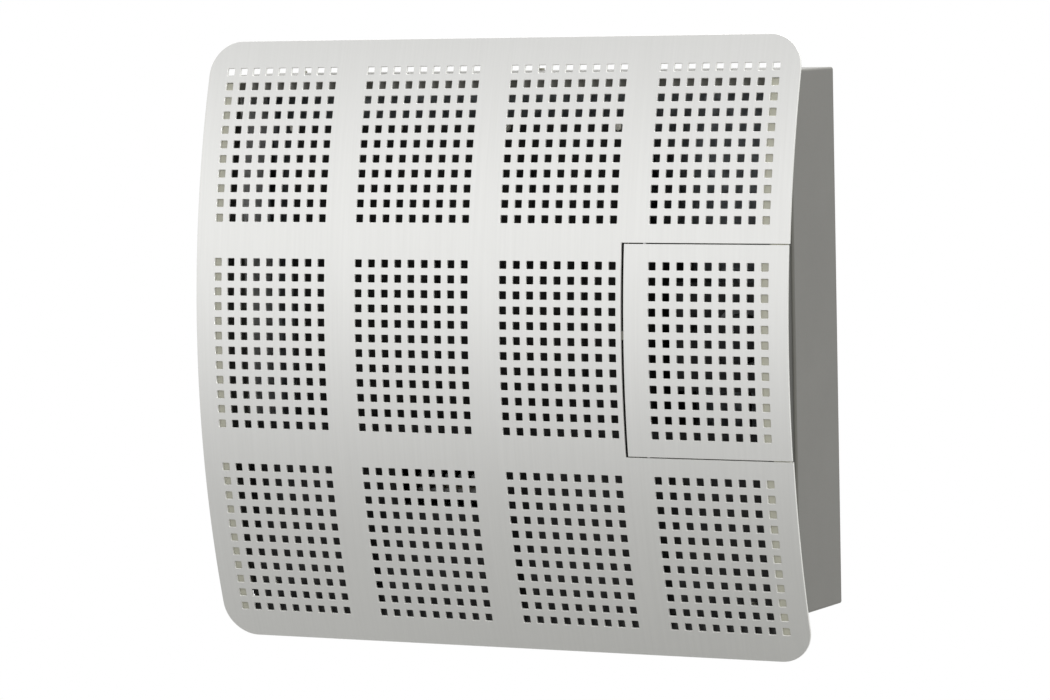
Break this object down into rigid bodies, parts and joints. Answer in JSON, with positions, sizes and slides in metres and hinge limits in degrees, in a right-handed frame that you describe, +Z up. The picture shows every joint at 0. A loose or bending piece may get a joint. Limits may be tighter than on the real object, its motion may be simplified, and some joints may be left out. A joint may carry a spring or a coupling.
{
  "type": "gas wall heater",
  "caption": "Wall-hung gas heater with a curved, square-punched steel front, a hinged control door, a shallow casing and a balanced flue behind.",
  "frame": {"origin": "centre of the four wall bolts, on the wall's face", "axes": "+X to the right seen from the room, +Y into the wall, +Z up"},
  "size_m": [0.66, 0.207, 0.6098],
  "materials": {
    "brushed_stainless": "brushed",
    "cream_paint": "satin",
    "grey_paint": "satin",
    "warm_grey_paint": "satin",
    "black_paint": "matt",
    "heat_black": "matt",
    "galvanised": "dull",
    "zinc_steel": "bright zinc",
    "bright_steel": "polished",
    "heat_steel": "heat tinted",
    "flue_aluminium": "mill",
    "cast_aluminium": "cast",
    "brass": "machined",
    "copper": "drawn",
    "ceramic": "glazed",
    "sight_glass": "clear",
    "fibre_gasket": "matt",
    "black_plastic": "satin",
    "white_plastic": "satin",
    "grey_plastic": "satin",
    "magnet": "matt",
    "rubber": "matt",
    "lead_insulation": "matt"
  },
  "bodies": {
    "heater": {"front_panel": "brushed_stainless", "left_edge_strip": "cream_paint", "right_edge_strips": "cream_paint", "left_side_rail": "grey_paint", "right_side_rail": "grey_paint", "lower_cross_rail": "black_paint", "lower_front_plate": "black_paint", "panel_screws": "zinc_steel", "casing": "warm_grey_paint", "casing_screws": "zinc_steel", "wall_plate": "galvanised", "hinge_brackets": "zinc_steel", "hinge_pins": "bright_steel", "door_catch": "black_plastic", "catch_magnet": "magnet", "combustion_chamber": "heat_black", "chamber_gasket": "fibre_gasket", "chamber_cover": "heat_black", "cover_bolts": "zinc_steel", "sight_glass": "sight_glass", "glass_gasket": "fibre_gasket", "glass_frame": "heat_black", "glass_frame_screws": "zinc_steel", "flue_baffle": "heat_steel", "burner": "heat_steel", "burner_cradles": "heat_steel", "injector_bracket": "galvanised", "gas_injector": "brass", "pilot_plate": "galvanised", "pilot_burner": "bright_steel", "thermocouple": "copper", "ignition_electrode": "ceramic", "flue_spigot": "flue_aluminium", "air_spigot": "flue_aluminium", "flue_gasket": "fibre_gasket", "air_duct": "galvanised", "chamber_stands": "galvanised", "control_bracket": "black_paint", "gas_valve": "cast_aluminium", "dial_plate": "grey_plastic", "igniter_body": "black_plastic", "gas_inlet_pipe": "copper", "pipe_nuts": "brass", "pipe_grommet": "rubber", "burner_supply_pipe": "black_paint", "pilot_pipe": "flue_aluminium", "thermocouple_lead": "copper", "igniter_lead": "lead_insulation", "thermostat_bulb": "copper", "bulb_brackets": "galvanised", "control_heat_shield": "heat_black"},
    "door": {"door_panel": "brushed_stainless", "door_edge_strip": "cream_paint", "door_hinge_leaves": "zinc_steel"},
    "spindle": {"valve_spindle": "bright_steel"},
    "knob": {"thermostat_knob": "black_plastic", "knob_pointer": "white_plastic"},
    "igniter_push_button": {"igniter_button": "black_plastic"}
  },
  "joints": [
    {"name": "door_hinge", "type": "hinge", "parent": "heater", "child": "door", "pos_m": [0.174, -0.136, 0], "axis": [0, 0, -1], "range_deg": [0, 105]},
    {"name": "spindle_push", "type": "slide", "parent": "heater", "child": "spindle", "axis": [0, 1, 0], "range_m": [0, 0.004], "stiffness_N_per_m": 1500, "springref_m": -0.004},
    {"name": "knob_turn", "type": "hinge", "parent": "spindle", "child": "knob", "pos_m": [0.25, -0.09, 0.008], "axis": [0, -1, 0], "range_deg": [0, 270]},
    {"name": "igniter_push", "type": "slide", "parent": "heater", "child": "igniter_push_button", "axis": [0, 1, 0], "range_m": [0, 0.006], "stiffness_N_per_m": 1200, "springref_m": -0.004}
  ]
}
